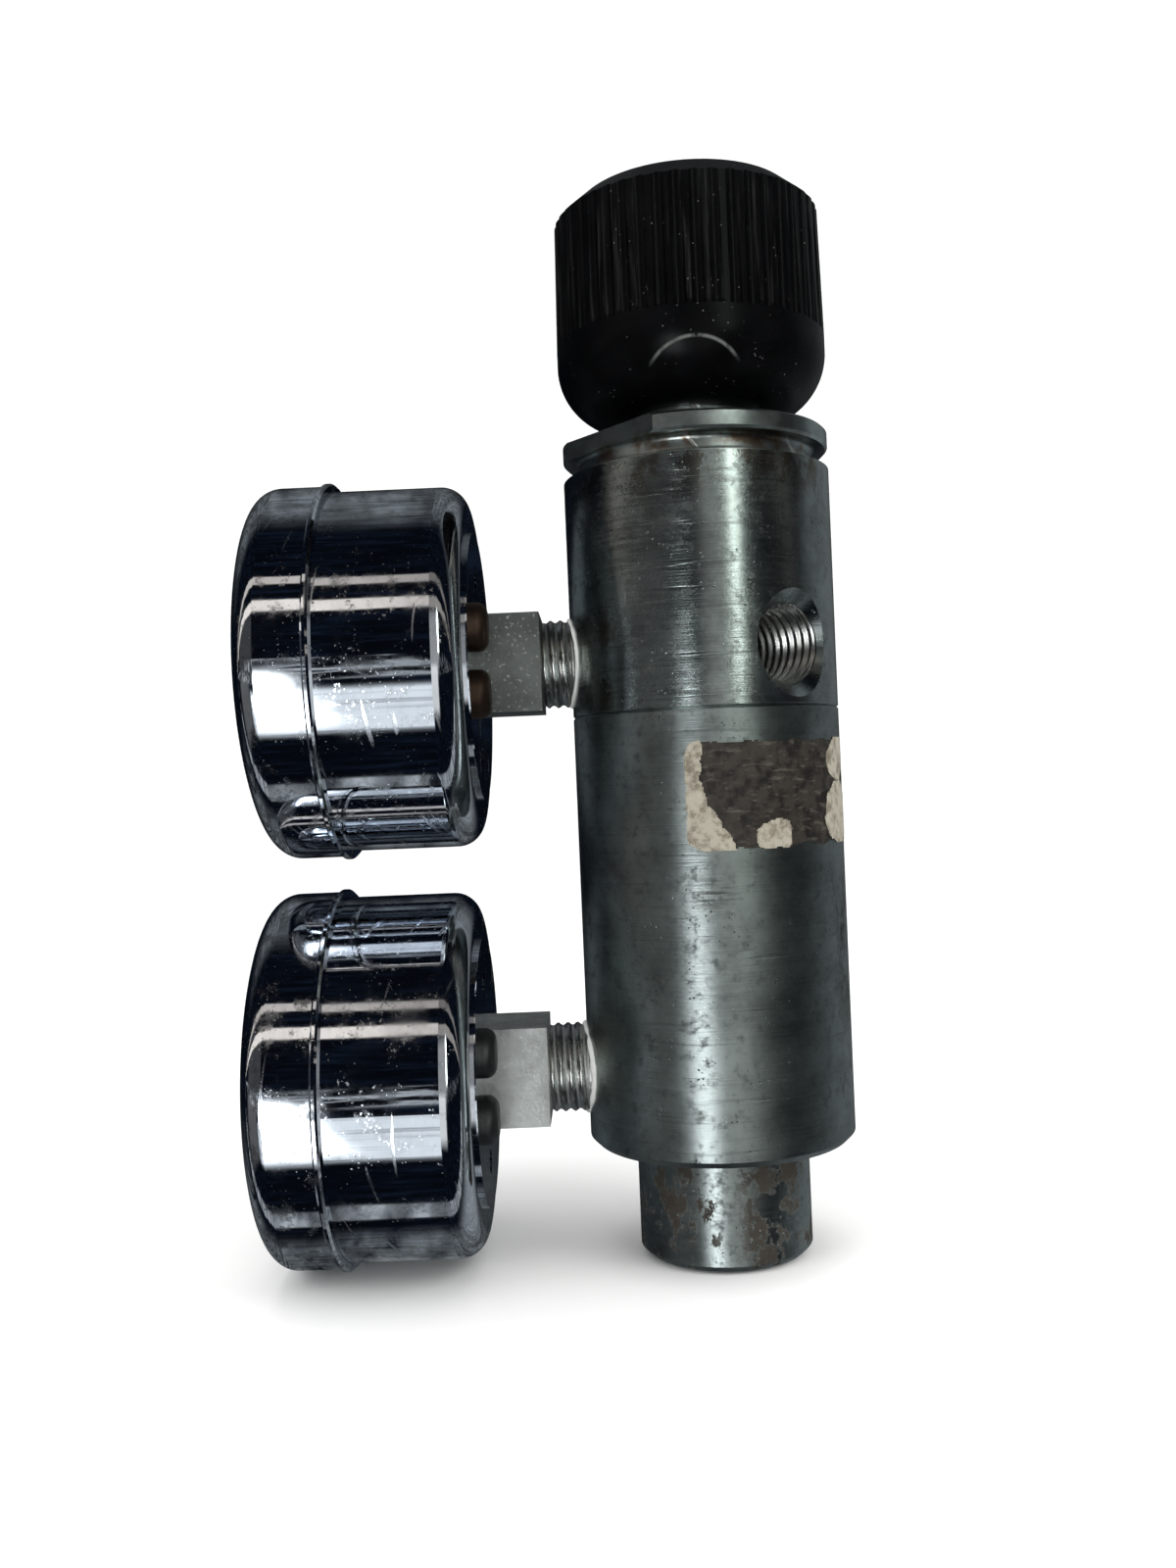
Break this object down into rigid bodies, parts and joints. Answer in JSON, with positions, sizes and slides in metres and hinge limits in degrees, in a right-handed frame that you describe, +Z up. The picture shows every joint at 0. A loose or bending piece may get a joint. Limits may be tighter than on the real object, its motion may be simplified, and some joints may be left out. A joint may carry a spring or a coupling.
{
  "type": "gas pressure regulator",
  "caption": "Round-bodied gas pressure regulator with an adjusting knob, threaded inlet and outlet ports, and inlet and outlet pressure gauges on its side.",
  "frame": {"origin": "centre of the inlet boss's bottom face, on the axis of the inlet port", "axes": "+Z up the body's axis towards the knob, -X along the gauges' axes, outlet port towards +X and -Y"},
  "size_m": [0.0827, 0.054, 0.1511],
  "materials": {
    "body_steel": "turned and stained",
    "cap_steel": "turned with two wrench flats",
    "inner_steel": "machined",
    "chrome": "mirror",
    "zinc_steel": "rough zinc plate",
    "screw_steel": "dark and worn",
    "knob_plastic": "black moulded",
    "brass": "machined",
    "spring_steel": "drawn wire",
    "seal_rubber": "moulded",
    "seat_plastic": "machined",
    "filter_bronze": "sintered",
    "window_glass": "clear",
    "dial_white": "matt white with black marks",
    "pointer_black": "matt black"
  },
  "bodies": {
    "regulator_body": {"lower_body": "body_steel", "upper_body": "body_steel", "body_seal": "seal_rubber", "inlet_filter": "filter_bronze", "filter_ring": "inner_steel", "valve_seat": "seat_plastic", "seat_retainer": "inner_steel", "bonnet_cap": "cap_steel", "range_spring": "spring_steel", "poppet_spring": "spring_steel", "outlet_gauge_socket": "zinc_steel", "outlet_gauge_case": "chrome", "outlet_gauge_back_screws": "screw_steel", "outlet_gauge_bezel": "chrome", "outlet_gauge_gasket": "seal_rubber", "outlet_gauge_window": "window_glass", "outlet_gauge_dial": "dial_white", "outlet_gauge_dial_posts": "brass", "outlet_gauge_dial_screws": "brass", "outlet_gauge_back_plate": "brass", "outlet_gauge_front_plate": "brass", "outlet_gauge_pillars": "brass", "outlet_gauge_tube": "brass", "outlet_gauge_tube_tip": "brass", "outlet_gauge_hairspring": "brass", "inlet_gauge_socket": "zinc_steel", "inlet_gauge_case": "chrome", "inlet_gauge_back_screws": "screw_steel", "inlet_gauge_bezel": "chrome", "inlet_gauge_gasket": "seal_rubber", "inlet_gauge_window": "window_glass", "inlet_gauge_dial": "dial_white", "inlet_gauge_dial_posts": "brass", "inlet_gauge_dial_screws": "brass", "inlet_gauge_back_plate": "brass", "inlet_gauge_front_plate": "brass", "inlet_gauge_pillars": "brass", "inlet_gauge_tube": "brass", "inlet_gauge_tube_tip": "brass", "inlet_gauge_hairspring": "brass"},
    "poppet": {"poppet": "inner_steel"},
    "piston": {"piston": "inner_steel", "piston_seal": "seal_rubber"},
    "spring_button": {"spring_button": "inner_steel", "thrust_ball": "inner_steel"},
    "knob": {"knob": "knob_plastic", "knob_insert": "brass", "adjusting_screw": "inner_steel"},
    "outlet_gauge_pointer": {"outlet_gauge_pointer": "pointer_black", "outlet_gauge_pinion": "brass"},
    "outlet_gauge_sector": {"outlet_gauge_sector": "brass"},
    "outlet_gauge_link": {"outlet_gauge_link": "brass"},
    "inlet_gauge_pointer": {"inlet_gauge_pointer": "pointer_black", "inlet_gauge_pinion": "brass"},
    "inlet_gauge_sector": {"inlet_gauge_sector": "brass"},
    "inlet_gauge_link": {"inlet_gauge_link": "brass"}
  },
  "joints": [
    {"name": "button_travel", "type": "slide", "parent": "regulator_body", "child": "spring_button", "axis": [0, 0, -1], "range_m": [-0.008, 0.001], "deforming": ["range_spring"]},
    {"name": "knob_turn", "type": "hinge", "parent": "spring_button", "child": "knob", "pos_m": [0, 0, 0.135], "axis": [0, 0, -1], "range_deg": [-1920.1, 240.1]},
    {"name": "piston_travel", "type": "slide", "parent": "regulator_body", "child": "piston", "axis": [0, 0, 1], "range_m": [0, 0.0008]},
    {"name": "poppet_lift", "type": "slide", "parent": "regulator_body", "child": "poppet", "axis": [0, 0, 1], "range_m": [-0.000001, 0.000801], "deforming": ["poppet_spring"]},
    {"name": "outlet_gauge_pointer_turn", "type": "hinge", "parent": "regulator_body", "child": "outlet_gauge_pointer", "pos_m": [-0.04325, 0, 0.0849], "axis": [1, 0, 0], "range_deg": [0, 270], "stiffness_Nm_per_rad": 0.00001, "deforming": ["outlet_gauge_hairspring"]},
    {"name": "outlet_gauge_sector_turn", "type": "hinge", "parent": "regulator_body", "child": "outlet_gauge_sector", "pos_m": [-0.04325, 0.0135, 0.0849], "axis": [1, 0, 0], "range_deg": [-33.76, 0.01]},
    {"name": "outlet_gauge_link_turn", "type": "hinge", "parent": "outlet_gauge_sector", "child": "outlet_gauge_link", "pos_m": [-0.04325, 0.01693, 0.08284], "axis": [1, 0, 0], "range_deg": [-0.01, 33.76]},
    {"name": "inlet_gauge_pointer_turn", "type": "hinge", "parent": "regulator_body", "child": "inlet_gauge_pointer", "pos_m": [-0.04455, 0, 0.0265], "axis": [1, 0, 0], "range_deg": [0, 270], "stiffness_Nm_per_rad": 0.00001, "deforming": ["inlet_gauge_hairspring"]},
    {"name": "inlet_gauge_sector_turn", "type": "hinge", "parent": "regulator_body", "child": "inlet_gauge_sector", "pos_m": [-0.04455, 0.0135, 0.0265], "axis": [1, 0, 0], "range_deg": [-33.76, 0.01]},
    {"name": "inlet_gauge_link_turn", "type": "hinge", "parent": "inlet_gauge_sector", "child": "inlet_gauge_link", "pos_m": [-0.04455, 0.01693, 0.02444], "axis": [1, 0, 0], "range_deg": [-0.01, 33.76]}
  ],
  "couplings": [
    {"joint": "knob_turn", "follows": "button_travel", "rad_per_m": 4188.8},
    {"joint": "poppet_lift", "follows": "piston_travel", "ratio": 1},
    {"joint": "outlet_gauge_sector_turn", "follows": "outlet_gauge_pointer_turn", "ratio": -0.125},
    {"joint": "outlet_gauge_link_turn", "follows": "outlet_gauge_pointer_turn", "ratio": 0.125},
    {"joint": "inlet_gauge_sector_turn", "follows": "inlet_gauge_pointer_turn", "ratio": -0.125},
    {"joint": "inlet_gauge_link_turn", "follows": "inlet_gauge_pointer_turn", "ratio": 0.125}
  ]
}
